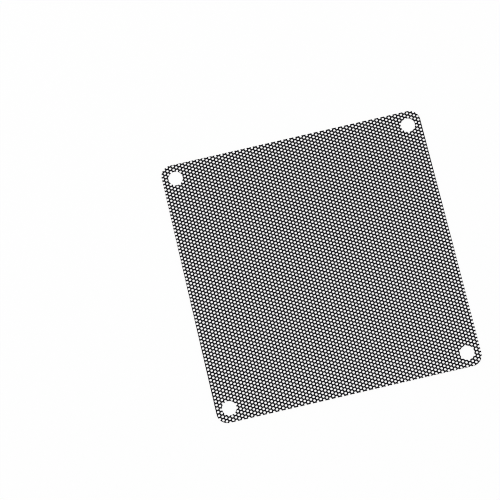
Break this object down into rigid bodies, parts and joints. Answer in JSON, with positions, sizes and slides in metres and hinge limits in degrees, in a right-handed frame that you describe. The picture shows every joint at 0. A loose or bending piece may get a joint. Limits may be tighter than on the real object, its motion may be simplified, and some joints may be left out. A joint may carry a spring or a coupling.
{
  "type": "fan dust filter",
  "caption": "Flat square sheet of fine black plastic mesh with rounded corners and a screw hole at each corner; it keeps dust out of a small cooling fan.",
  "frame": {"origin": "middle of the sheet, on its lower face, which lies on z = 0", "axes": "+Z out of the upper face, X and Y along the sheet's sides; the mesh's straight rows of holes run along Y"},
  "size_m": [0.0796, 0.08, 0.0003],
  "materials": {
    "black_plastic": "satin black flexible plastic, plain on both faces"
  },
  "bodies": {
    "root": {"mesh_sheet": "black_plastic"}
  },
  "joints": []
}
